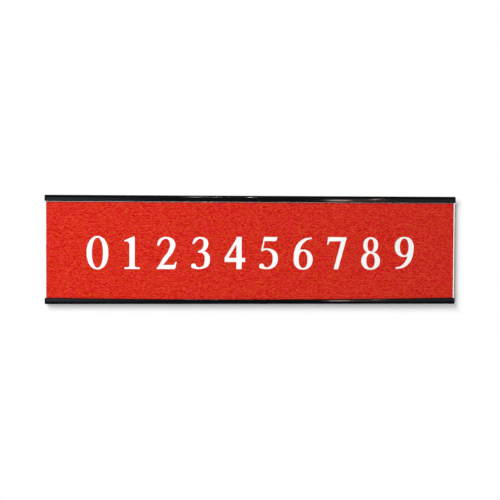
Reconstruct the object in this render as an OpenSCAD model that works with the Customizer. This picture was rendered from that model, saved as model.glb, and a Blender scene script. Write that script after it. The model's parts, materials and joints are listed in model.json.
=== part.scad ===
// Wall name plate: a channel-shaped holder, an engraving sheet of two bonded
// layers that slides along its rails, and two strips of foam tape on its back.
// X runs along the rails, Y points to the wall and Z points up.
// The origin is on the holder's back face, midway between the screw holes.

/* [Holder] */
// Length of the holder along its rails
holder_length = 203.2; // [120:0.1:400]
// Height of the channel from groove floor to groove floor
channel_height = 50.8; // [30:0.1:120]
// Thickness of the back web
web_thickness = 1.8; // [1.2:0.1:4]
// Height of the lands that carry the sheet clear of the web
land_height = 0.3; // [0.1:0.1:1]
// Width of each land, from its groove floor
land_width = 5; // [2:0.5:10]
// Thickness of the rail behind its groove floor
rail_wall = 1.4; // [0.8:0.1:3]
// Thickness of the lip in front of the sheet
lip_thickness = 1.2; // [0.8:0.1:3]
// Cover of the upper lip over the top edge of the seated sheet
lip_cover = 0.2; // [0.1:0.05:3]
// Radius of the outer front corners
rail_round = 1.5; // [0.5:0.1:2]
// Radius of the front edge of each lip
lip_round = 0.35; // [0.1:0.05:0.5]
// Radius of the outer back corners
back_round = 0.5; // [0.2:0.1:1]
// Radius in the corners of the grooves
groove_round = 0.2; // [0.05:0.05:0.4]

/* [Screw holes] */
// Distance of each screw hole from the holder's end
hole_inset = 25.4; // [12:0.1:60]
// Diameter of the drilled hole
hole_diameter = 4; // [3:0.1:6]
// Straight wall of the hole behind its countersink
hole_wall = 0.4; // [0.2:0.1:0.9]
// Full angle of the countersink
sink_angle = 82; // [82, 90, 100]

/* [Engraving sheet] */
// Thickness of the whole sheet
sheet_thickness = 1.6; // [1.2:0.1:3.2]
// Thickness of the coloured cap layer
cap_thickness = 0.25; // [0.1:0.05:0.4]
// Square edge left behind the sheet's bevel
edge_land = 0.8; // [0.3:0.05:0.9]
// Play between the sheet's height and the channel
height_play = 1.5; // [0.4:0.1:2]
// Gap between the sheet's lower edge and the lower groove floor
seat_gap = 0.1; // [0.05:0.05:0.3]
// Play between the sheet's thickness and the groove
slot_play = 0.2; // [0.1:0.05:0.6]
// Distance of the sheet's ends inside the holder's ends
end_setback = 0.1; // [0:0.1:2]

/* [Foam tape] */
// Thickness of the foam tape
tape_thickness = 1.6; // [0.8:0.1:3.2]
// Width of each strip
tape_width = 12.7; // [6:0.1:25.4]
// Clear distance between a screw hole and the strip beside it
tape_hole_gap = 6; // [2:0.5:20]
// Distance of the strip's ends from the holder's long edges
tape_edge_margin = 4.8; // [1:0.1:10]

/* [Hidden] */
$fn = 64;

// Run of a cutting shape past the face that it opens
overrun = 1;

// Depths along Y, from the holder's back face to its front
slot_depth = sheet_thickness + slot_play;
groove_back = -web_thickness - land_height;
groove_front = groove_back - slot_depth;
groove_middle = (groove_back + groove_front) / 2;
front_face = groove_front - lip_thickness;

// Heights along Z
holder_height = channel_height + 2 * rail_wall;
lip_reach = height_play - seat_gap + lip_cover;
window_height = channel_height - 2 * lip_reach;
relief_height = channel_height - 2 * land_width;

// Screw holes
hole_place = holder_length / 2 - hole_inset;
hole_radius = hole_diameter / 2;
sink_depth = web_thickness - hole_wall;

// Engraving sheet
sheet_length = holder_length - 2 * end_setback;
sheet_height = channel_height - height_play;
sheet_front = groove_middle - sheet_thickness / 2;
sheet_middle = seat_gap - height_play / 2;
bevel_width = sheet_thickness - edge_land;

// Foam tape
tape_place = hole_place - hole_radius - tape_hole_gap - tape_width / 2;
tape_height = holder_height - 2 * tape_edge_margin;

// Waste between a square corner at the origin and the arc that rounds it
module corner_waste(radius) {
    difference() {
        translate([-overrun, -overrun])
            square(radius + overrun);
        translate([radius, radius])
            circle(radius);
    }
}

// Waste at one corner, turned so that the body lies in the given quadrant
module round_corner(depth, height, quadrant, radius) {
    translate([depth, height])
        rotate(90 * quadrant)
            corner_waste(radius);
}

// Rectangle centred on the channel between two depths
module band(depth_front, depth_back, height) {
    translate([depth_front, -height / 2])
        square([depth_back - depth_front, height]);
}

// Space of the two grooves with rounded corners
module groove_space() {
    half = channel_height / 2;
    difference() {
        band(groove_front, groove_back, channel_height);
        round_corner(groove_front, -half, 0, groove_round);
        round_corner(groove_back, -half, 1, groove_round);
        round_corner(groove_back, half, 2, groove_round);
        round_corner(groove_front, half, 3, groove_round);
    }
}

// Cross-section of the extrusion, depth along its first axis
module holder_profile() {
    half = holder_height / 2;
    half_window = window_height / 2;
    difference() {
        band(front_face, 0, holder_height);
        band(front_face - overrun, groove_middle, window_height);
        groove_space();
        band(groove_middle, -web_thickness, relief_height);
        round_corner(front_face, -half, 0, rail_round);
        round_corner(0, -half, 1, back_round);
        round_corner(0, half, 2, back_round);
        round_corner(front_face, half, 3, rail_round);
        round_corner(front_face, half_window, 0, lip_round);
        round_corner(front_face, -half_window, 3, lip_round);
    }
}

// Carries a cross-section along X, its first axis becoming Y and its second Z
module along_rails(length) {
    rotate([90, 0, 90])
        linear_extrude(height = length, center = true)
            children();
}

// Drilled hole through the web, countersunk from the front
module screw_hole() {
    sink_run = sink_depth + land_height;
    rotate([90, 0, 0]) {
        translate([0, 0, -overrun])
            cylinder(h = web_thickness + overrun, r = hole_radius);
        translate([0, 0, hole_wall])
            cylinder(h = sink_run, r1 = hole_radius, r2 = hole_radius + sink_run * tan(sink_angle / 2));
    }
}

// Half of a bevelled size at a depth behind the sheet's front
function bevelled_half(size, depth) = size / 2 - max(0, bevel_width - depth);

// Depths at which the outline of a layer turns
function layer_depths(from, to) =
    from < bevel_width && bevel_width < to ? [from, bevel_width, to] : [from, to];

// Outline of a layer across one of its sizes, depth along its second axis
function layer_outline(size, from, to) =
    let (depths = layer_depths(from, to), last = len(depths) - 1)
    concat(
        [for (depth = depths) [bevelled_half(size, depth), depth]],
        [for (k = [last:-1:0]) [-bevelled_half(size, depths[k]), depths[k]]]
    );

// One layer of the sheet, bevelled on all four edges
module sheet_layer(from, to) {
    upright = layer_outline(sheet_height, from, to);
    translate([0, sheet_front, sheet_middle])
        intersection() {
            linear_extrude(height = sheet_height, center = true)
                polygon(layer_outline(sheet_length, from, to));
            along_rails(sheet_length)
                polygon([for (point = upright) [point[1], point[0]]]);
        }
}

// Strip of foam tape on the back, side -1 for left and 1 for right
module foam_tape(side) {
    color("whitesmoke")
        translate([side * tape_place - tape_width / 2, 0, -tape_height / 2])
            cube([tape_width, tape_thickness, tape_height]);
}

module holder() {
    color([0.11, 0.11, 0.12])
        difference() {
            along_rails(holder_length)
                holder_profile();
            for (side = [-1, 1])
                translate([side * hole_place, 0, 0])
                    screw_hole();
        }
}

module insert_core() {
    color("white")
        sheet_layer(cap_thickness, sheet_thickness);
}

module insert_cap() {
    color([0.83, 0.18, 0.13])
        sheet_layer(0, cap_thickness);
}

module foam_tape_left() {
    foam_tape(-1);
}

module foam_tape_right() {
    foam_tape(1);
}

holder();
insert_core();
insert_cap();
foam_tape_left();
foam_tape_right();
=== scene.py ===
# %% [markdown]
# A wall name plate
#
# A black plastic channel sits on a wall, and a red sheet with numbers cut into it slides along its
# rails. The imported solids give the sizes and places. This lesson gives them their looks, one piece or
# one finish at a time, and each cell prints what it made.

# %% Load the solids
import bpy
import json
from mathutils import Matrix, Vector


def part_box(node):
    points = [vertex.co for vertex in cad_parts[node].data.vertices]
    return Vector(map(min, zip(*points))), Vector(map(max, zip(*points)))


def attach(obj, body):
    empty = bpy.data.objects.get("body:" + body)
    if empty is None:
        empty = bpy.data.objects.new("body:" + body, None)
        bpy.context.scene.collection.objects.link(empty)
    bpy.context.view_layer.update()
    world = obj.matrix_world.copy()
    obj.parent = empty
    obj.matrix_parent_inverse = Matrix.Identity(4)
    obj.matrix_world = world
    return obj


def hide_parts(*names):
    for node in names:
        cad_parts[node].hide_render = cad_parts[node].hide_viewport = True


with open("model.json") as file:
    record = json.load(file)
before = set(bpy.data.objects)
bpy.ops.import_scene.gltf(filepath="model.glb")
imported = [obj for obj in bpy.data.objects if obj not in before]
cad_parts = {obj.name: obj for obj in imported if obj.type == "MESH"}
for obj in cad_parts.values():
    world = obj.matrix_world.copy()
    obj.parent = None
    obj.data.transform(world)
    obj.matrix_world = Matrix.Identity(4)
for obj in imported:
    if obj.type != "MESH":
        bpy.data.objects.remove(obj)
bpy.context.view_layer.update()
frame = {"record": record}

MM = 0.001

# %% [markdown]
# From arrays to a mesh
#
# A sign maker thinks in millimetres and Blender counts in metres. So every shape here is a numpy array
# in millimetres, and one helper turns it into a mesh. All the pieces are closed skins over rings of
# points: a bar, a sheet, a hole and the stroke of a number differ only in how their rings are worked
# out. One could also start from Blender's own cubes and bevel them, but a formula keeps the sizes in
# sight.

# %% Skins over rings
import json

import bmesh
import bpy
import numpy as np
from mathutils import Matrix


def skin(rings, looped=False):
    """Points, sides and lids of a closed skin over rings, an array of (rings, points on a ring, 3).

    Side (i, j) joins points j and j + 1 of ring i to the same points of ring i + 1. A looped skin also
    joins the last ring to the first, and any other gets a lid on each of the two.
    """
    count, size, _ = rings.shape
    i, j = np.meshgrid(np.arange(count if looped else count - 1), np.arange(size), indexing="ij")
    near, far, after = i * size, (i + 1) % count * size, (j + 1) % size
    sides = np.stack([near + j, near + after, far + after, far + j], -1).reshape(-1, 4)
    lids = np.arange(count * size).reshape(count, size)[[] if looped else [0, -1]]
    return rings.reshape(-1, 3), sides, lids


def new_object(name, *skins):
    """One mesh object from one or more skins, with every face turned outwards."""
    starts = np.cumsum([0] + [len(points) for points, _, _ in skins])
    faces = []
    for start, (_, sides, lids) in zip(starts, skins):
        faces += (start + sides).tolist() + (start + lids).tolist()
    points = np.vstack([points for points, _, _ in skins]) * MM
    mesh = bpy.data.meshes.new(name)
    mesh.from_pydata(points.tolist(), [], faces)
    shell = bmesh.new()
    shell.from_mesh(mesh)
    bmesh.ops.recalc_face_normals(shell, faces=shell.faces)
    shell.to_mesh(mesh)
    shell.free()
    made = bpy.data.objects.new(name, mesh)
    bpy.context.scene.collection.objects.link(made)
    return made


print("shapes are drawn in millimetres and stored times", MM)

# %% [markdown]
# Cutting
#
# A real plate is drilled and engraved after its parts are formed. So a Boolean cuts the holes and the
# numbers, and its cutter is thrown away. Cuts could be built into the rings as well, but then every
# ring would have to know of every number. A Boolean leaves flat faces in more bits than they need, so
# these are joined again.

# %% Cutting
flat_angle = np.radians(0.3)
weld_gap = 0.001


def carve(piece, cutter):
    """Cuts one object out of another, and throws the cutter away."""
    cut = piece.modifiers.new("cut", "BOOLEAN")
    cut.object = cutter
    cut.operation = "DIFFERENCE"
    cut.solver = "EXACT"
    cut.use_self = True
    result = piece.evaluated_get(bpy.context.evaluated_depsgraph_get())
    piece.data = bpy.data.meshes.new_from_object(result)
    piece.modifiers.clear()
    bpy.data.objects.remove(cutter)


def join_flats(piece):
    """Joins the faces of a cut piece that lie in one plane, and drops the points this leaves on edges."""
    shell = bmesh.new()
    shell.from_mesh(piece.data)
    bmesh.ops.remove_doubles(shell, verts=shell.verts, dist=weld_gap * MM)
    bmesh.ops.dissolve_limit(shell, angle_limit=flat_angle, verts=shell.verts, edges=shell.edges)
    shell.to_mesh(piece.data)
    shell.free()


print("faces count as flat within", round(np.degrees(flat_angle), 2), "degrees")

# %% [markdown]
# Seating
#
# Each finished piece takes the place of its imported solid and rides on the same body, so it moves as the
# solid does. Faces that meet at a wide angle stay sharp, and the fine steps of a round corner are
# shaded as one curve. A Bevel modifier could soften the edges too, but the rounds are already in the
# shapes. Some pieces have a second finish, such as a sawn end, on the faces that lie furthest out along
# one axis.

# %% Seating
sharp_angle = np.radians(32.0)


def seat(piece, node, body, slot, *finishes):
    """Gives a piece its finishes and its edges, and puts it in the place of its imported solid."""
    piece.data.materials.clear()
    for finish in finishes:
        piece.data.materials.append(finish)
    piece.data.shade_smooth()
    piece.data.set_sharp_from_angle(angle=sharp_angle)
    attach(piece, body)
    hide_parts(node)
    size = [round(side / MM, 2) for side in piece.dimensions]
    print(piece.name, "stands for", node, size, "mm,", len(piece.data.polygons), "faces")


def second_finish(piece, axis, beyond):
    """Gives a piece's second finish to the faces whose centre lies further than a distance from the
    piece's middle along an axis, in millimetres."""
    centres = np.empty(3 * len(piece.data.polygons))
    piece.data.polygons.foreach_get("center", centres)
    along = centres[axis::3] / MM
    outside = np.abs(along - (along.min() + along.max()) / 2) > beyond
    piece.data.polygons.foreach_set("material_index", outside.astype(np.int32))
    print(piece.name, "has", int(outside.sum()), "faces in", piece.data.materials[1].name)


print("edges stay sharp from", round(np.degrees(sharp_angle), 1), "degrees")

# %% [markdown]
# The camera
#
# The plate is seen almost square on, from a little to the left and a little above, through a long lens.
# The camera comes early, because each later choice is judged through it. Its axes are built from two
# angles and a slight roll, which says more than aiming it with a constraint.

# %% Camera
view_distance = 600.0
view_target = np.array([-0.77, 0.0, -0.15])
view_yaw, view_pitch, view_roll = np.radians([-3.77, 2.08, 0.266])
lens_length = 86.8

sideways, backwards = np.sin(view_yaw), np.cos(view_yaw)
level = np.array([backwards, sideways, 0.0])
forward = np.array([-sideways, backwards, 0.0])
away = np.array([0.0, 0.0, np.sin(view_pitch)]) - np.cos(view_pitch) * forward
upright = np.cross(away, level)
rightward = np.cos(view_roll) * level + np.sin(view_roll) * upright
upward = np.cos(view_roll) * upright - np.sin(view_roll) * level

camera = bpy.data.objects.new("camera", bpy.data.cameras.new("camera"))
camera.data.lens = lens_length
camera.matrix_world = Matrix(np.column_stack([rightward, upward, away]).tolist()).to_4x4()
camera.location = (view_target + view_distance * away) * MM
bpy.context.scene.collection.objects.link(camera)
bpy.context.scene.camera = camera
print("camera at", [round(x, 3) for x in camera.location], "m")

# %% [markdown]
# Grain for the finishes
#
# Every finish is worked out from Object coordinates, so it stays on its piece when the sheet slides.
# Noise that is stretched along the rails gives the drawn look of an extrusion and the brushed look of a
# sheet, so one helper takes the size of a grain along each axis, in millimetres. An image would do the
# same only at one size.

# %% Finishes and grain


def new_finish(name, **values):
    """A material with a Principled shader. The values go straight onto the shader's own sockets."""
    finish = bpy.data.materials.new(name)
    finish.use_nodes = True
    shader = finish.node_tree.nodes["Principled BSDF"]
    for socket, value in values.items():
        shader.inputs[socket.replace("_", " ")].default_value = value
    return finish, finish.node_tree, shader


def stretched(tree, kind, size):
    """A texture node whose cells have the given size along X, Y and Z in millimetres."""
    place = tree.nodes.new("ShaderNodeTexCoord")
    stretch = tree.nodes.new("ShaderNodeMapping")
    stretch.inputs["Scale"].default_value = 1 / (np.array(size) * MM)
    texture = tree.nodes.new(kind)
    texture.inputs["Scale"].default_value = 1.0
    tree.links.new(place.outputs["Object"], stretch.inputs["Vector"])
    tree.links.new(stretch.outputs["Vector"], texture.inputs["Vector"])
    return texture


def grain(tree, size, detail=2.0, harsh=0.5):
    """Noise from 0 to 1, with finer noise added over it as often as detail says."""
    noise = stretched(tree, "ShaderNodeTexNoise", size)
    noise.inputs["Detail"].default_value = detail
    noise.inputs["Roughness"].default_value = harsh
    return noise.outputs[0]


print("finishes read Object coordinates")

# %% [markdown]
# Ranges and colours
#
# A grain is only a number at each place. Stretched over a range it becomes a roughness, and laid
# between two colours it becomes a shade. A Color Ramp could give the colours too, but the plain ends of
# a range are easier to read and to change.

# %% Ranges and colours


def between(tree, amount, low=0.0, high=1.0, start=0.3, end=0.7):
    """A number that goes from low to high as the amount goes from start to end."""
    ramp = tree.nodes.new("ShaderNodeMapRange")
    for socket, value in (("From Min", start), ("From Max", end), ("To Min", low), ("To Max", high)):
        ramp.inputs[socket].default_value = value
    tree.links.new(amount, ramp.inputs["Value"])
    return ramp.outputs["Result"]


def total(tree, first, second):
    """The sum of two numbers."""
    add = tree.nodes.new("ShaderNodeMath")
    tree.links.new(first, add.inputs[0])
    tree.links.new(second, add.inputs[1])
    return add.outputs[0]


def tint(tree, amount, low, high):
    """A colour that goes from low to high as the amount goes from 0 to 1. Each of the two is a colour of
    its own or one that another node gives."""
    blend = tree.nodes.new("ShaderNodeMix")
    blend.data_type = "RGBA"
    ends = [socket for socket in blend.inputs if socket.type == "RGBA"]
    for end, colour in zip(ends, (low, high)):
        if isinstance(colour, tuple):
            end.default_value = (*colour, 1.0)
        else:
            tree.links.new(colour, end)
    tree.links.new(amount, blend.inputs[0])
    return next(socket for socket in blend.outputs if socket.type == "RGBA")


print("a grain can be stretched, added and turned into a colour")

# %% [markdown]
# Gloss and bumps
#
# On a real surface the same scratches change the colour, the gloss and the height together. So one
# grain may feed several sockets of a shader and be raised as a bump as well. Real dents in the mesh
# would need millions of points.

# %% Gloss and bumps


def feed(tree, shader, **sources):
    """Links colours and numbers that change over the surface to the shader's own sockets."""
    for socket, source in sources.items():
        tree.links.new(source, shader.inputs[socket.replace("_", " ")])


def relief(tree, shader, amount, height):
    """Bumps of the given height in millimetres. A second call adds its bumps to those of the first."""
    bump = tree.nodes.new("ShaderNodeBump")
    bump.inputs["Distance"].default_value = height * MM
    tree.links.new(amount, bump.inputs["Height"])
    for earlier in shader.inputs["Normal"].links:
        tree.links.new(earlier.from_socket, bump.inputs["Normal"])
    tree.links.new(bump.outputs["Normal"], shader.inputs["Normal"])


print("the same grain can tint, roughen and raise a surface")

# %% [markdown]
# Black plastic
#
# The holder is an extruded bar: hot plastic is pushed through a die, which leaves a gloss with faint
# lines along the bar and slow waves in it. The waves bend the reflections, so they are a bump of long
# cells, and the lines change the roughness as well. The saw leaves the two cut ends dull, so these get
# a finish of their own.

# %% Black plastic finish


def black_plastic():
    """Near black, with fine lines along X that tint it and roughen it, over slow waves."""
    finish, tree, shader = new_finish("black_plastic", Specular_IOR_Level=0.3)
    draw_lines = grain(tree, size=(90.0, 0.22, 0.22), detail=3.0)
    waves = grain(tree, size=(34.0, 9.0, 9.0), detail=1.0)
    deep, pale = (0.0030, 0.0032, 0.0038), (0.0068, 0.0072, 0.0086)
    shade = tint(tree, between(tree, draw_lines), deep, pale)
    feed(tree, shader, Base_Color=shade, Roughness=between(tree, draw_lines, low=0.03, high=0.07))
    relief(tree, shader, waves, height=0.03)
    relief(tree, shader, draw_lines, height=0.0008)
    return finish


def sawn_plastic():
    """Dull dark grey, with the marks of a saw across the cut."""
    finish, tree, shader = new_finish("sawn_plastic", Specular_IOR_Level=0.3)
    saw_marks = grain(tree, size=(4.0, 12.0, 0.3), detail=3.0, harsh=0.65)
    deep, pale = (0.010, 0.010, 0.011), (0.026, 0.026, 0.028)
    shade = tint(tree, between(tree, saw_marks), deep, pale)
    feed(tree, shader, Base_Color=shade, Roughness=between(tree, saw_marks, low=0.45, high=0.7))
    relief(tree, shader, saw_marks, height=0.03)
    return finish


holder_finishes = [black_plastic(), sawn_plastic()]
print("finishes:", [finish.name for finish in holder_finishes])

# %% [markdown]
# Sizes of the bar
#
# Seen from its end the bar is a shallow C: a web against the wall, a land that carries each edge of the
# sheet, a groove, and a lip that turns over the sheet's edge. How high and how deep it is comes from
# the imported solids. Walls and reaches are named for what they do, which reads better than points
# measured off the solid.

# %% Sizes of the bar
web_thickness = 1.8
land_width = 5.0
sheet_play = 0.1
rail_wall = 1.4
lip_thickness = 1.2
lip_reach = 1.7


def solid_box(node):
    """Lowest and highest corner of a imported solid, in millimetres."""
    return [np.array(corner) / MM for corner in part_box(node)]


holder_low, holder_high = solid_box("holder")
core_low, core_high = solid_box("insert_core")
rail_top = holder_high[2]
rail_front = holder_low[1]
groove_top = rail_top - rail_wall
groove_front = rail_front + lip_thickness
groove_back = core_high[1] + sheet_play
land_edge = groove_top - land_width
lip_edge = groove_top - lip_reach
print("groove", round(groove_back - groove_front, 2), "mm wide, lips", round(2 * lip_edge, 2), "mm apart")

# %% [markdown]
# The outline of the bar
#
# The upper half is listed from the web round to the back, with arcs at its corners, and the lower half
# is its mirror image. The lip's face gets points of its own, because no drawn face is quite flat: it
# will swell by a hair, and that is what draws its reflections out into streaks. A curve object with
# this outline as its bevel could make the bar too, but its ends and lips could not be moved one by one.

# %% Outline of the bar
rail_round, rail_steps = 1.5, 19
lip_round, lip_steps = 0.35, 9
back_round, back_steps = 0.5, 8
groove_round, groove_steps = 0.2, 6
face_crown, face_steps = 0.024, 9
face_height = rail_top - rail_round - lip_edge - lip_round


def arc(depth, height, radius, start, end, steps):
    """Points of a round corner: centre + radius (cos t, sin t), with t from start to end in degrees."""
    turn = np.radians(np.linspace(start, end, steps))
    return np.column_stack([depth + radius * np.cos(turn), height + radius * np.sin(turn)])


def holder_outline():
    """Depth and height of the bar's outline, which closes from its last point to its first, and how far
    each point belongs to a lip: 1 on the lip's edge, 0 away from it, and in between along its face."""
    face = rail_front + face_crown
    groove_corner = groove_top - groove_round
    inside = np.vstack([
        [[-web_thickness, land_edge], [groove_back, land_edge]],
        arc(groove_back - groove_round, groove_corner, groove_round, 0, 90, groove_steps),
        arc(groove_front + groove_round, groove_corner, groove_round, 90, 180, groove_steps),
    ])
    lip = np.vstack([
        [[groove_front, lip_edge]],
        arc(face + lip_round, lip_edge + lip_round, lip_round, 270, 180, lip_steps),
    ])
    outside = np.vstack([
        arc(face + rail_round, rail_top - rail_round, rail_round, 180, 90, rail_steps),
        arc(-back_round, rail_top - back_round, back_round, 90, 0, back_steps),
    ])
    across_face = np.linspace(lip[-1], outside[0], face_steps)[1:-1]
    upper = np.vstack([inside, lip, across_face, outside])
    share = np.concatenate([
        np.zeros(len(inside)),
        np.ones(len(lip) - 1),
        np.linspace(1, 0, face_steps),
        np.zeros(len(outside) - 1),
    ])
    return np.vstack([upper, (upper * [1, -1])[::-1]]), np.concatenate([share, share[::-1]])


outline, lip_share = holder_outline()
print("outline of", len(outline), "points, with a lip's face", round(face_height, 2), "mm high")

# %% [markdown]
# The ends of the bar
#
# Sawn plastic is scraped so that it doesn't cut the hand. So the outline is drawn in by a hair at both
# ends, along a quarter circle, and one more ring close by keeps the scrape's shading off the long run.
# A Bevel modifier could do this too, if each edge of the ends was picked for it.

# %% Ends of the bar
end_scrape = 0.16
scrape_steps = 4
edge_hold = 0.25
run_rings = 61


def drawn_in(points):
    """The step that moves each point of a closed outline inwards by one: the sum of its two sides'
    inward normals over one plus their product, which keeps both sides parallel."""
    side = np.roll(points, -1, axis=0) - points
    area = np.sum(points[:, 0] * side[:, 1] - points[:, 1] * side[:, 0])
    normal = np.column_stack([-side[:, 1], side[:, 0]]) / np.linalg.norm(side, axis=1)[:, None]
    normal *= np.sign(area)
    before = np.roll(normal, 1, axis=0)
    return (before + normal) / (1 + np.sum(before * normal, axis=1))[:, None]


def bar_places():
    """Places along the bar, and how far the outline is drawn in at each. At both ends they follow a
    quarter circle: short of the end by the scrape times 1 - cos t, and drawn in by the scrape times
    1 - sin t."""
    half = holder_high[0]
    straight = half - end_scrape
    turn = np.linspace(0, np.pi / 2, scrape_steps, endpoint=False)
    short_of_end = end_scrape * (1 - np.cos(turn))
    shrink = end_scrape * (1 - np.sin(turn))
    run = np.linspace(edge_hold - straight, straight - edge_hold, run_rings)
    run = np.concatenate([[-straight], run, [straight]])
    places = np.concatenate([short_of_end - half, run, half - short_of_end[::-1]])
    return places, np.concatenate([shrink, 0 * run, shrink[::-1]])


print("rings along the bar:", len(bar_places()[0]))

# %% [markdown]
# The bar
#
# The outline is carried along the rails. Thin lips never cool quite straight: they lean back a little,
# the lower one dips between its ends, and the upper one rises to the left. A straight bar could be bent
# by hand in sculpt mode, but here one number changes each bend.

# %% Holder
lip_dip = 0.81
dip_reach = 94.0
lip_lift = 0.17
lip_lean = 0.04


def holder_rings():
    """Ring i is the outline at place x. The lower lip's edge is lowered by the dip times 1 - (x / reach
    of the dip) squared, and the upper lip's edge is raised by the lift times the share of the bar that
    lies to its right. The points of a face move by their share s in its lip. The face then swells by
    the crown times 4 s (1 - s), and less by the square where the lip's shift narrows it, and leans back
    by the lean times s."""
    x, scrape = bar_places()
    dip = lip_dip * np.maximum(0, 1 - (x / dip_reach) ** 2)
    lift = lip_lift * (1 - x / holder_high[0]) / 2
    section = outline + scrape[:, None, None] * drawn_in(outline)
    shift = np.where(outline[:, 1] > 0, lift[:, None], dip[:, None])
    height = section[..., 1] + lip_share * shift * np.sign(outline[:, 1])
    swell = face_crown * (1 - shift / face_height) ** 2 * 4 * lip_share * (1 - lip_share)
    depth = section[..., 0] - swell + lip_lean * lip_share
    return np.stack([x[:, None] + 0 * height, depth, height], -1)


holder = new_object("holder_channel", skin(holder_rings()))
print("bar of", len(holder.data.vertices), "points")

# %% [markdown]
# The screw holes
#
# Two countersunk holes let the bar be screwed to the wall, and they show only when the sheet is drawn
# out. Their spacing and radius come from the plate's own record. The cutter is a ring whose radius
# follows the depth, so that one skin makes the hole and its sink.

# %% Screw holes
hole_wall = 0.4
sink_angle = np.radians(82.0)
sink_slope = np.tan(sink_angle / 2)
cut_margin = 0.5
hole_sides = 64
holes = next(mount for mount in frame["record"]["mounts"] if mount["name"] == "screw_holes")
hole_radius = holes["dims"]["hole_r_mm"]
hole_spacing = holes["dims"]["spacing_x_mm"]


def screw_hole(middle):
    """A ring about the hole's axis at each depth: straight through the hole's wall, then wider by the
    sink's slope, so that radius = hole radius + slope (depth beyond the wall)."""
    depth = np.array([cut_margin, -hole_wall, -web_thickness - cut_margin])[:, None]
    radius = hole_radius + sink_slope * np.maximum(0, -depth - hole_wall)
    turn = np.linspace(0, 2 * np.pi, hole_sides, endpoint=False)
    across = middle + radius * np.cos(turn)
    return skin(np.stack([across, depth + 0 * across, radius * np.sin(turn)], -1))


carve(holder, new_object("drill", screw_hole(-hole_spacing / 2), screw_hole(hole_spacing / 2)))
seat(holder, "holder", "holder_body", "black_plastic", *holder_finishes)
second_finish(holder, axis=0, beyond=holder_high[0] - end_scrape)

# %% [markdown]
# Red cap
#
# The sheet is engraving stock: a thin coloured cap on a white core. The cap is brushed along its
# length. That leaves light streaks a millimetre long and a fifth as high, which are a noise stretched
# along X, and wavy lines a millimetre and a half apart, which are a sine of the height with its phase
# shifted by noise. Its pigment isn't quite even either, so wider patches lean to orange or to crimson.

# %% Red cap finish
wave_radians = 20.0
wave_shift = 8.0
wave_detail = 1.0
crimsons = (0.509, 0.0, 0.0), (0.7, 0.037, 0.028)
oranges = (0.495, 0.005, 0.0), (0.682, 0.053, 0.019)


def brush_lines(tree, spacing, bend):
    """Lines along X as a number from 0 to 1, with a spacing along Z. Blender's wave is a sine that goes
    through wave_radians per unit, so unit = spacing times wave_radians over a whole turn. Noise with
    cells as long as the bend shifts its phase by wave_shift radians at most."""
    unit = spacing * wave_radians / (2 * np.pi)
    lines = stretched(tree, "ShaderNodeTexWave", size=(unit, unit, unit))
    lines.bands_direction = "Z"
    lines.inputs["Distortion"].default_value = wave_shift
    lines.inputs["Detail"].default_value = wave_detail
    lines.inputs["Detail Scale"].default_value = unit / bend
    return lines.outputs["Fac"]


def red_cap():
    """Red with light streaks and lines along X, in patches of two hues."""
    finish, tree, shader = new_finish("red_cap", Specular_IOR_Level=0.05)
    streaks = grain(tree, size=(1.2, 3.0, 0.22), detail=0.0)
    specks = grain(tree, size=(0.5, 3.0, 0.3), detail=1.0)
    patches = grain(tree, size=(3.0, 3.0, 1.9), detail=1.0)
    lines = brush_lines(tree, spacing=1.54, bend=1.1)
    light_streaks = between(tree, streaks, low=-0.12, high=0.76, start=0.38, end=0.62)
    light_lines = between(tree, lines, low=-0.1, high=0.46, start=0.0, end=1.0)
    light = total(tree, light_streaks, light_lines)
    hue = between(tree, patches, start=0.34, end=0.66)
    shade = tint(tree, hue, tint(tree, light, *crimsons), tint(tree, light, *oranges))
    feed(tree, shader, Base_Color=shade, Roughness=between(tree, specks, low=0.42, high=0.62))
    relief(tree, shader, streaks, height=0.012)
    relief(tree, shader, specks, height=0.006)
    return finish


cap_finish = red_cap()
print("finish:", cap_finish.name)

# %% [markdown]
# White core
#
# The core is plain white plastic that shows at the sheet's edges and where a cutter has been. A flat
# white would look like paper, so the cutter's fine lines change its roughness, and soft clouds change
# its white a little.

# %% White core finish


def white_core():
    """White with soft clouds, and with fine tool lines along X."""
    finish, tree, shader = new_finish("white_core", Specular_IOR_Level=0.4)
    tool_lines = grain(tree, size=(6.0, 0.09, 0.09), detail=2.0)
    clouds = grain(tree, size=(5.0, 5.0, 5.0), detail=3.0)
    deep, pale = (0.922, 0.950, 0.942), (0.952, 0.980, 0.972)
    shade = tint(tree, between(tree, clouds), deep, pale)
    feed(tree, shader, Base_Color=shade, Roughness=between(tree, tool_lines, low=0.38, high=0.55))
    relief(tree, shader, tool_lines, height=0.004)
    return finish


core_finish = white_core()
print("finish:", core_finish.name)

# %% [markdown]
# The two layers
#
# All four edges of the sheet are bevelled at 45 degrees, so the white core shows as a line round the
# red. Each layer is a stack of rectangles, and a rectangle shrinks by as much as its depth is short of
# the bevel's width. A Bevel modifier on each layer could hardly keep the two slopes in one plane.

# %% Sheet layers
bevel_width = 0.8
cap_low, cap_high = solid_box("insert_cap")
sheet_front = cap_low[1]
cap_thickness = cap_high[1] - sheet_front
sheet_thickness = core_high[1] - sheet_front
corner_signs = np.array([[-1, -1], [1, -1], [1, 1], [-1, 1]])


def sheet_layer(*depths):
    """Rectangles at depths behind the sheet's front: half size = half sheet - max(0, bevel - depth)."""
    depth = np.array(depths)[:, None]
    half = (core_high - core_low)[[0, 2]] / 2
    middle = (core_high + core_low)[[0, 2]] / 2
    shrunk = half - np.maximum(0, bevel_width - depth)
    corners = middle + corner_signs * shrunk[:, None]
    behind = sheet_front + depth + 0 * corners[..., 0]
    return skin(np.stack([corners[..., 0], behind, corners[..., 1]], -1))


cap = new_object("sheet_cap", sheet_layer(0, cap_thickness))
core = new_object("sheet_core", sheet_layer(cap_thickness, bevel_width, sheet_thickness))
print("cap", round(cap_thickness, 3), "mm on a sheet of", round(sheet_thickness, 3), "mm")

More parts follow.
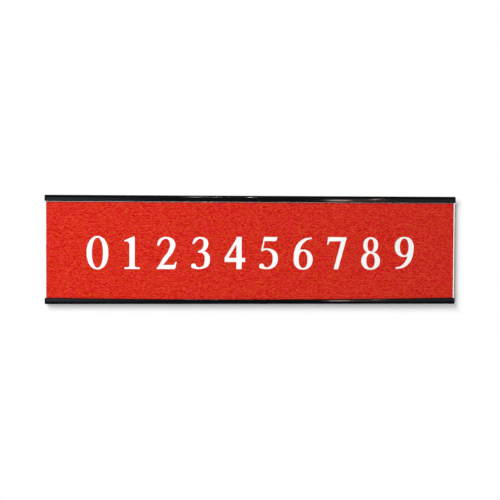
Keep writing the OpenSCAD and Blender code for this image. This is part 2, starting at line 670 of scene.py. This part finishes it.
# %% [markdown]
# A pen for the numbers
#
# The plate holds plain numbers with thick uprights, thin curves and small feet. A font would need a
# file, so a broad pen writes them: it follows a smooth path, and its stroke is wide where the path runs
# upright and thin where it runs level. All of it is in parts of a number's height.

# %% Pen
thick, thin = 0.165, 0.054
pen_contrast = 1.6
taper = 0.2


def smooth_path(points, steps=72):
    """A curve through all the points. Between two of them it is a cubic that leaves and meets each point
    with the slope of the parabola through that point and its neighbours."""
    points = np.array(points)
    knots = np.concatenate([[0], np.cumsum(np.linalg.norm(np.diff(points, axis=0), axis=1))])
    slopes = np.gradient(points, knots, axis=0)
    place = np.linspace(0, knots[-1], steps)
    k = np.clip(np.searchsorted(knots, place, side="right") - 1, 0, len(points) - 2)
    gap = np.diff(knots)[k][:, None]
    s = (place - knots[k])[:, None] / gap
    ease = s * s * (3 - 2 * s)
    bend = gap * s * (1 - s) * ((1 - s) * slopes[k] - s * slopes[k + 1])
    return (1 - ease) * points[k] + ease * points[k + 1] + bend


def pen(*points, heavy=thick, start=1.0, end=1.0):
    """One edge round a stroke: the path, half a width to either side. The width is thin plus
    (heavy - thin) times the upright part of the path's direction to the power of the contrast. Over the
    taper's share of the path it narrows to the shares that are given for the start and the end."""
    path = smooth_path(points)
    along = np.gradient(path, axis=0)
    along /= np.linalg.norm(along, axis=1)[:, None]
    narrow = np.interp(np.linspace(0, 1, len(path)), [0, taper, 1 - taper, 1], [start, 1, 1, end])
    width = narrow * (thin + (heavy - thin) * np.abs(along[:, 1]) ** pen_contrast)
    across = np.column_stack([-along[:, 1], along[:, 0]]) * width[:, None] / 2
    return np.vstack([path + across, (path - across)[::-1]])[None]


print("pen from", thin, "to", thick, "of a number's height")

# %% [markdown]
# Loops, dots and feet
#
# A pen alone leaves blunt ends and a seam in a closed ring. So a round number is a loop between two
# ovals, a curve may end in a dot, and an upright stands on a foot. Each is a formula as well, and a
# plate with straight sides does for the bars.

# %% Other strokes


def loop(middle, wide, high, heavy=thick, fullness=2.15, steps=96):
    """The outer and inner edge of a closed stroke. Both are ovals, (cos t, sin t) to the power
    2 / fullness with their signs kept, and the inner one is smaller by heavy at the sides and by thin at
    the top."""
    turn = np.linspace(0, 2 * np.pi, steps, endpoint=False)
    oval = np.column_stack([np.cos(turn), np.sin(turn)])
    oval = np.sign(oval) * np.abs(oval) ** (2 / fullness)
    return [0, middle] + np.stack([oval * [wide, high], oval * [wide - heavy, high - thin]])


def dot(across, up, radius, steps=40):
    """The edge of a round end: centre + radius (cos t, sin t)."""
    turn = np.linspace(0, 2 * np.pi, steps, endpoint=False)
    return np.column_stack([across + radius * np.cos(turn), up + radius * np.sin(turn)])[None]


def foot(half, rise=0.06, steps=10):
    """The edge of a foot: a thin plate, with a quarter circle of radius rise in each corner to a stem."""
    turn = np.linspace(0, np.pi / 2, steps)
    right = np.column_stack([thick / 2 + rise * (1 - np.sin(turn)), thin + rise * (1 - np.cos(turn))])
    right = np.vstack([[half, 0], [half, thin], right])
    return np.vstack([right, (right * [-1, 1])[::-1]])[None]


def plate(*corners):
    """The edge of a flat stroke with straight sides."""
    return np.array(corners)[None]


print("a loop has", loop(middle=0.5, wide=0.5, high=0.5).shape[1], "points on each edge")

# %% [markdown]
# Ten numbers
#
# Each number is a short list of strokes that overlap. Points are given on a box one unit high, with
# the upright middle at 0. The nine is the six turned half round, as in many old faces.

# %% Numbers
half_stem = thick / 2
bar = 0.13


def numerals():
    """The strokes of the numbers 0 to 9."""
    six = [
        loop(middle=0.3, wide=0.3, high=0.314),
        pen((0.27, 0.968), (0.07, 0.92), (-0.11, 0.76), (-0.195, 0.54), (-0.218, 0.3), start=0.9),
    ]
    return [
        [loop(middle=0.5, wide=0.332, high=0.514)],
        [
            plate((-half_stem, 0.01), (half_stem, 0.01), (half_stem, 1.0), (0.03, 1.0),
                  (-half_stem, 0.93)),
            plate((-half_stem, 0.79), (0.05, 0.87), (0.03, 1.0), (-0.235, 0.885), (-0.235, 0.84),
                  (-0.14, 0.855)),
            foot(half=0.235),
        ],
        [
            pen((-0.265, 0.72), (-0.19, 0.885), (-0.04, 0.965), (0.125, 0.905), (0.19, 0.75),
                (0.135, 0.565), (-0.03, 0.33), (-0.17, 0.13), (-0.25, 0.03), start=0.42, end=0.5),
            plate((-0.315, 0), (0.26, 0), (0.318, 0.22), (0.272, 0.22), (0.225, bar), (-0.2, bar),
                  (-0.3, 0.03)),
        ],
        [
            pen((-0.245, 0.78), (-0.155, 0.915), (-0.01, 0.967), (0.125, 0.9), (0.155, 0.77),
                (0.095, 0.62), (-0.07, 0.535), heavy=0.145, start=0.42, end=0.7),
            pen((-0.085, 0.533), (0.08, 0.52), (0.18, 0.42), (0.2, 0.28), (0.14, 0.105), (-0.02, 0.03),
                (-0.14, 0.042), (-0.225, 0.09)),
            dot(-0.222, 0.098, radius=0.078),
        ],
        [
            plate((0.04, 0), (0.04 + thick, 0), (0.04 + thick, 1.0), (0.04, 1.0)),
            plate((-0.322, 0.22), (0.315, 0.22), (0.315, 0.22 + bar), (-0.322, 0.22 + bar)),
            plate((-0.322, 0.35), (-0.322, 0.29), (-0.24, 0.29), (0.11, 0.88), (0.11, 1.0),
                  (0.075, 1.0)),
        ],
        [
            plate((-0.19, 1 - bar), (0.215, 1 - bar), (0.268, 1.0), (-0.16, 1.0)),
            plate((-0.186, 0.89), (-0.136, 0.89), (-0.19, 0.62), (-0.23, 0.59), (-0.26, 0.55)),
            pen((-0.25, 0.568), (-0.1, 0.622), (0.065, 0.58), (0.172, 0.455), (0.192, 0.31),
                (0.13, 0.125), (-0.02, 0.033), (-0.15, 0.042), (-0.235, 0.09), start=0.6),
            dot(-0.232, 0.098, radius=0.078),
        ],
        six,
        [
            plate((-0.28, 1.0), (-0.315, 0.76), (-0.27, 0.76), (-0.222, 1 - bar), (0.15, 1 - bar),
                  (0.295, 0.94), (0.295, 1.0)),
            plate((0.135, 0.9), (0.295, 0.945), (0.04, 0.0), (-0.105, 0.0)),
        ],
        [
            loop(middle=0.752, wide=0.236, high=0.248, heavy=0.137),
            loop(middle=0.264, wide=0.295, high=0.278),
        ],
        [[0, 1] - edge for edge in six],
    ]


print("strokes:", [len(strokes) for strokes in numerals()])

# %% [markdown]
# Cutting the numbers
#
# An engraver's cutter goes through the red cap and a hair into the white core. So the row of numbers is
# cut out of the cap, and shallow pockets of the same outline are cut into the core behind it. Painted
# numbers would look flat from the side.

# %% Engraving
number_height = 16.0
number_pitch = 16.9
row_middle = -1.5
engraving_depth = 0.1


def cutter_skin(edges, front, back):
    """A stroke carried from front to back. A single edge gets lids, and a loop is a ring of four edges:
    outer at the front and back, inner at the back and front."""
    depths = [front, back, back, front][:2 * len(edges)]
    rows = np.repeat(edges, 2, axis=0)
    depth = np.array(depths)[:, None] + 0 * rows[..., 0]
    return skin(np.stack([rows[..., 0], depth, rows[..., 1]], -1), looped=len(edges) > 1)


def number_row(front, back):
    """The cutters of all the numbers, side by side in the middle of the sheet."""
    rows = numerals()
    places = (np.arange(len(rows)) - (len(rows) - 1) / 2) * number_pitch
    lift = row_middle - number_height / 2
    return [
        cutter_skin(edges * number_height + [place, lift], front, back)
        for place, strokes in zip(places, rows)
        for edges in strokes
    ]


core_front = sheet_front + cap_thickness
cap_cuts = number_row(sheet_front - cut_margin, core_front + cut_margin)
carve(cap, new_object("cap_cutter", *cap_cuts))
core_cuts = number_row(core_front - cut_margin, core_front + engraving_depth)
carve(core, new_object("core_cutter", *core_cuts))
join_flats(cap)
join_flats(core)
seat(cap, "insert_cap", "insert_body", "red_cap", cap_finish)
seat(core, "insert_core", "insert_body", "white_core", core_finish)

# %% [markdown]
# Foam and glue
#
# Two strips of double-sided foam tape hold the plate to the wall. The cells of the foam show at the cut
# sides, so these are a Voronoi pattern that dents the surface, and the dents are painted darker as shade.
# The glue on the two faces is smoother and a little yellow, so it is a finish of its own with soft
# dimples.

# %% Foam finishes


def foam():
    """Dull white with round cells a third of a millimetre wide, painted darker in their dents as shade.
    """
    finish, tree, shader = new_finish("white_foam", Specular_IOR_Level=0.2, Roughness=0.9)
    cells = stretched(tree, "ShaderNodeTexVoronoi", size=(0.32, 0.32, 0.32)).outputs["Distance"]
    # painted shade: deep is the colour at the bottom of each cell's dent, pale is the foam's own white
    deep, pale = (0.70, 0.70, 0.67), (0.86, 0.86, 0.83)
    feed(tree, shader, Base_Color=tint(tree, between(tree, cells, start=0.1, end=0.7), deep, pale))
    relief(tree, shader, cells, height=0.12)
    return finish


def tape_glue():
    """Yellowish and half glossy, with dimples about a millimetre wide."""
    finish, tree, shader = new_finish("tape_glue", Specular_IOR_Level=0.5)
    dimples = grain(tree, size=(0.9, 0.9, 0.9), detail=3.0)
    deep, pale = (0.74, 0.73, 0.66), (0.84, 0.83, 0.77)
    shade = tint(tree, between(tree, dimples), deep, pale)
    feed(tree, shader, Base_Color=shade, Roughness=between(tree, dimples, low=0.28, high=0.5))
    relief(tree, shader, dimples, height=0.05)
    return finish


tape_finishes = [foam(), tape_glue()]
print("finishes:", [finish.name for finish in tape_finishes])

# %% [markdown]
# Strips of foam tape
#
# The strips are cut from a roll with a blade, so their sides waver a little and swell between the two
# glued faces. Cloth could be simulated for a pad, but foam tape hardly gives, so a formula for its
# sides is enough.

# %% Foam strips
tape_round, tape_corner_steps = 0.5, 6
face_pinch = 0.22
blade_wander = 0.1
slow_waves, quick_waves = 5, 13
edge_points = 168
thickness_steps = 9
face_margin = 0.001


def even_points(points, count):
    """Points at even distances along a closed outline."""
    closed = np.vstack([points, points[:1]])
    run = np.concatenate([[0], np.cumsum(np.linalg.norm(np.diff(closed, axis=0), axis=1))])
    place = np.linspace(0, run[-1], count, endpoint=False)
    return np.column_stack([np.interp(place, run, closed[:, k]) for k in (0, 1)])


def foam_rings(low, high):
    """Rings through the strip's thickness. Each is a rectangle with round corners, drawn in by the pinch
    times |2t - 1| cubed at depth t, and by the blade's wander times a share from 0 to 1: a sum of two
    sines round the edge, one of which shifts with the depth."""
    half, middle = (high - low)[[0, 2]] / 2, (high + low)[[0, 2]] / 2
    corners = [
        arc(*(signs * (half - tape_round)), tape_round, start, start + 90, tape_corner_steps)
        for signs, start in zip(corner_signs, (180, 270, 0, 90))
    ]
    edge = even_points(np.vstack(corners), edge_points)
    t = np.linspace(0, 1, thickness_steps)[:, None]
    turn = np.linspace(0, 2 * np.pi, edge_points, endpoint=False)
    waves = np.sin(slow_waves * turn + middle[0]) + np.sin(quick_waves * turn + 2 * t)
    pull = face_pinch * np.abs(2 * t - 1) ** 3 + blade_wander * (2 + waves) / 4
    drawn = edge + pull[..., None] * drawn_in(edge) + middle
    depth = low[1] + t * (high - low)[1] + 0 * drawn[..., 0]
    return np.stack([drawn[..., 0], depth, drawn[..., 1]], -1)


for side in ("left", "right"):
    node = "foam_tape_" + side
    tape_low, tape_high = solid_box(node)
    strip = new_object("foam_strip_" + side, skin(foam_rings(tape_low, tape_high)))
    seat(strip, node, "holder_body", "white_foam", *tape_finishes)
    second_finish(strip, axis=1, beyond=(tape_high - tape_low)[1] / 2 - face_margin)

# %% [markdown]
# Flat squares
#
# Round the plate stand a wall and some cards, as in a small studio. Each is one flat square, because
# only its colour or its glow matters. They throw neither light nor shadow on it. An image of a studio
# could do the same, but squares can be moved one by one.

# %% Flat squares


def backdrop(name, middle, across, up, finish):
    """A flat square that isn't part of the plate. Its corners are its middle plus or minus two arrows."""
    corners = np.array(middle) + corner_signs @ np.array([across, up])
    mesh = bpy.data.meshes.new(name)
    mesh.from_pydata((corners * MM).tolist(), [], [[0, 1, 2, 3]])
    mesh.materials.append(finish)
    made = bpy.data.objects.new(name, mesh)
    bpy.context.scene.collection.objects.link(made)
    made.visible_diffuse = made.visible_transmission = made.visible_shadow = False
    return made


print("corners of a square:", corner_signs.tolist(), "times its arrows")

# %% [markdown]
# Glow
#
# A card that is seen only in a mirror needs no paint, so its finish is a bare Emission shader. A real
# panel is often brighter at one side, so a glow can also slope from one end to the other.

# %% Glow
white = (1.0, 1.0, 1.0)


def bare_finish(name):
    """A material with nothing in it but its output."""
    finish = bpy.data.materials.new(name)
    finish.use_nodes = True
    finish.node_tree.nodes.clear()
    return finish, finish.node_tree, finish.node_tree.nodes.new("ShaderNodeOutputMaterial")


def glowing(tree, strength, colour=white):
    """Light of an even strength and colour."""
    light = tree.nodes.new("ShaderNodeEmission")
    light.inputs["Color"].default_value = (*colour, 1.0)
    light.inputs["Strength"].default_value = strength
    return light.outputs[0]


def along_axes(tree, place):
    """The three coordinates of a place, each as a number."""
    apart = tree.nodes.new("ShaderNodeSeparateXYZ")
    tree.links.new(place, apart.inputs[0])
    return apart.outputs


def sloped_glow(tree, levels, ends, colour=white):
    """Light whose strength goes from one level to another between two ends along X, in millimetres."""
    place = tree.nodes.new("ShaderNodeTexCoord").outputs["Object"]
    light = glowing(tree, 1.0, colour)
    level = between(tree, along_axes(tree, place)["X"], *levels, *(np.array(ends) * MM))
    tree.links.new(level, light.node.inputs["Strength"])
    return light


print("glow is", white, "unless a card has a colour of its own")

# %% [markdown]
# A box round the shadow
#
# The wall only has to catch the plate's soft shadow, which falls a bit to the right and below. So a box
# is laid round it, and the finish can ask how far each place lies outside. A painted mask would do the
# same, but it would need an image.

# %% Box round the shadow
shadow_shift = (1.75, 0.0, -3.3)
shadow_half = holder_high + [1.05, 0.0, 0.0]


def outside_shadow(tree):
    """How far a place lies outside the shadow's box: the larger of |x| - half length and |z| - half
    height, with x and z counted from the middle of the box."""
    place = tree.nodes.new("ShaderNodeTexCoord").outputs["Object"]
    steps = (("SUBTRACT", shadow_shift), ("ABSOLUTE", None), ("SUBTRACT", shadow_half))
    for operation, value in steps:
        step = tree.nodes.new("ShaderNodeVectorMath")
        step.operation = operation
        if value is not None:
            step.inputs[1].default_value = np.array(value) * MM
        tree.links.new(place, step.inputs[0])
        place = step.outputs["Vector"]
    larger = tree.nodes.new("ShaderNodeMath")
    larger.operation = "MAXIMUM"
    across, _, up = along_axes(tree, place)
    tree.links.new(across, larger.inputs[0])
    tree.links.new(up, larger.inputs[1])
    return larger.outputs[0]


print("shadow box of", np.round(2 * shadow_half[[0, 2]], 1).tolist(), "mm")

# %% [markdown]
# White wall
#
# In the box the wall is white paint, and a little way off it turns to plain white. A faint glow,
# stronger to the right, makes up for the lamps that stand to the left. The back is clear, for looks at
# the plate from behind. Plain paint alone would turn grey away from the lamps.

# %% Wall finish
wall_colour = (0.845, 0.845, 0.845)
wall_glow = (0.05, 0.095)
fade_from, fade_to = -1.0, 2.5


def joined(tree, kind, first, second, share=None):
    """Two shaders added together, or mixed by a share."""
    both = tree.nodes.new(kind)
    shaders = [socket for socket in both.inputs if socket.type == "SHADER"]
    tree.links.new(first, shaders[0])
    tree.links.new(second, shaders[1])
    if share:
        tree.links.new(share, both.inputs["Fac"])
    return both.outputs[0]


def white_wall():
    """Paint with a faint glow near the shadow, plain white away from it, and clear from behind."""
    finish, tree, out = bare_finish("white_wall")
    paint = tree.nodes.new("ShaderNodeBsdfDiffuse")
    paint.inputs["Color"].default_value = (*wall_colour, 1.0)
    glow = sloped_glow(tree, wall_glow, (holder_low[0], holder_high[0]))
    lit = joined(tree, "ShaderNodeAddShader", paint.outputs[0], glow)
    away_from_it = between(tree, outside_shadow(tree), start=fade_from * MM, end=fade_to * MM)
    front = joined(tree, "ShaderNodeMixShader", lit, glowing(tree, 1.0), away_from_it)
    clear = tree.nodes.new("ShaderNodeBsdfTransparent").outputs[0]
    behind = tree.nodes.new("ShaderNodeNewGeometry").outputs["Backfacing"]
    tree.links.new(joined(tree, "ShaderNodeMixShader", front, clear, behind), out.inputs["Surface"])
    return finish


wall_finish = white_wall()
print("wall is plain white from", fade_to, "mm outside the shadow's box")

# %% [markdown]
# The wall
#
# The plate hangs on a plain wall at the tape's outer face, a hair behind it so that the two never share
# a plane. It shows to the camera alone: the plate's light and reflections come from the lamps, the room
# and the cards.

# %% Wall
wall_gap = 0.02
wall_half_width, wall_half_height = 480.0, 330.0

wall_depth = tape_high[1] + wall_gap
across, up = (wall_half_width, 0, 0), (0, 0, wall_half_height)
wall = backdrop("wall", (0, wall_depth, 0), across, up, wall_finish)
wall.visible_glossy = False
facing = [round(x, 1) for x in wall.data.polygons[0].normal]
print("wall at depth", round(wall_depth, 2), "mm, facing", facing)

# %% [markdown]
# Dark cards for the reflections
#
# Black plastic shows what stands round it more than its own colour. So a photographer stands dark cards
# in front of it, above it and below it, and these cards do the same. Only reflections see them. A
# darker room would do as well, but it would take light from the whole plate.

# %% Dark cards
hood_reach = 900.0
hood_front = -1400.0
hood_back = 1600.0
hood_half = 700.0


def mirror_card(name, middle, across, up, glow=0.0, colour=white):
    """A card that is seen in reflections alone. A pair of glows is for its left and its right edge."""
    finish, tree, out = bare_finish(name)
    if isinstance(glow, tuple):
        light = sloped_glow(tree, glow, (middle[0] - across[0], middle[0] + across[0]), colour)
    else:
        light = glowing(tree, glow, colour)
    tree.links.new(light, out.inputs["Surface"])
    card = backdrop(name, middle, across, up, finish)
    card.visible_camera = False
    print(name, "glows", glow)


hood_middle = (hood_front + hood_back) / 2
hood_depth = (hood_back - hood_front) / 2
mirror_card("dark_front", (0, hood_front, 0), (hood_reach, 0, 0), (0, 0, hood_half))
mirror_card("dark_top", (0, hood_middle, hood_half), (hood_reach, 0, 0), (0, hood_depth, 0))
mirror_card("dark_bottom", (0, hood_middle, -hood_half), (hood_reach, 0, 0), (0, hood_depth, 0))

# %% [markdown]
# Bright cards
#
# In front of the dark cards stand a few bright ones, which draw the streaks along the rails. A cool
# panel stands on each side, and to the right also a warm one with two bright strips and, further out, a
# wide white one. A few bare bulbs hang overhead. Lamps could be seen in the rails instead, but a card
# can glow in a mirror without lighting the plate.

# %% Bright cards
panel_depth, warm_depth, strip_depth = -800, -790, -785
panel_rise = 200
cool_left, cool_right = (0.8, 0.98, 1.2), (0.9, 0.97, 1.1)
warm = (1.0, 0.76, 0.66)
bulb_depth, bulb_height = -420, 600
bulb_slope = (0, 48, 35)

upwards = (0, 0, panel_rise)
mirror_card("left_panel", (-120, panel_depth, 0), (65, 0, 0), upwards, glow=(1.1, 0.1), colour=cool_left)
mirror_card("right_panel", (330, panel_depth, 0), (130, 0, 0), upwards, glow=0.45, colour=cool_right)
mirror_card("far_panel", (560, panel_depth, 0), (230, 0, 0), (0, 0, 2 * panel_rise), glow=3.0)
mirror_card("warm_panel", (172, warm_depth, 0), (36, 0, 0), upwards, glow=1.2, colour=warm)
mirror_card("warm_strip", (153, strip_depth, -30), (11, 0, 0), (0, 0, 65), glow=13, colour=warm)
mirror_card("warm_bar", (202, strip_depth, 230), (11, 0, 190), (0, 0, 25), glow=24, colour=warm)
for place, half_width, glow in ((46, 1.5, 150), (11.4, 1.5, 85), (-11.4, 8, 30)):
    mirror_card("bulb", (place, bulb_depth, bulb_height), (half_width, 0, 0), bulb_slope, glow=glow)

# %% [markdown]
# The room
#
# A pale room lights the plate a little from all sides. Where the room itself is seen, straight or in
# something shiny, it is plain white, as a studio's paper is. One world can do both, because Light Path
# tells which kind of ray is asking.

# %% Room
room_level = 0.154
scene = bpy.context.scene


def pale_room():
    """A white surround that lights the plate at the room's level, and is plain white where it is seen
    directly, in a reflection or through something clear."""
    world = bpy.data.worlds.new("pale_room")
    world.use_nodes = True
    tree = world.node_tree
    background = tree.nodes["Background"]
    background.inputs["Color"].default_value = (*white, 1.0)
    path = tree.nodes.new("ShaderNodeLightPath")
    seen = path.outputs["Is Camera Ray"]
    for other in ("Is Glossy Ray", "Is Transmission Ray"):
        either = tree.nodes.new("ShaderNodeMath")
        either.operation = "MAXIMUM"
        tree.links.new(seen, either.inputs[0])
        tree.links.new(path.outputs[other], either.inputs[1])
        seen = either.outputs[0]
    strength = between(tree, seen, low=room_level, high=1.0, start=0.0, end=1.0)
    tree.links.new(strength, background.inputs["Strength"])
    return world


scene.world = pale_room()
scene.view_settings.view_transform = "Standard"
print("room at", room_level, "of white")

# %% [markdown]
# Lamps
#
# Four soft lamps do the rest. The key lamp stands to the left and above. It brightens the left end more
# than the right, and casts the soft shadow below and to the right. A wide front lamp to the left and
# below fills in, the edge lamp far to the right lights the sheet's right end, and the back lamp stands
# behind the wall for looks at the back. On the front the light adds up to about 1, so that colours show
# as written. One sun lamp would be simpler, but it lights both ends alike.

# %% Lamps


def soft_lamp(name, place, width, watts):
    """A square lamp that is turned to the plate's middle. The cards stand in for it in reflections."""
    lamp = bpy.data.objects.new(name, bpy.data.lights.new(name, "AREA"))
    lamp.data.energy = watts
    lamp.data.size = width * MM
    lamp.location = np.array(place) * MM
    lamp.rotation_euler = (-lamp.location).to_track_quat("-Z", "Y").to_euler()
    lamp.visible_camera = lamp.visible_glossy = False
    scene.collection.objects.link(lamp)
    print(name, "at", place, "mm,", watts, "W")


soft_lamp("key_lamp", place=(-215, -510, 206), width=312, watts=2.54)
soft_lamp("front_lamp", place=(-370, -640, -280), width=500, watts=2.34)
soft_lamp("edge_lamp", place=(1300, -110, 0), width=400, watts=12.5)
soft_lamp("back_lamp", place=(0, 700, 350), width=400, watts=6.0)
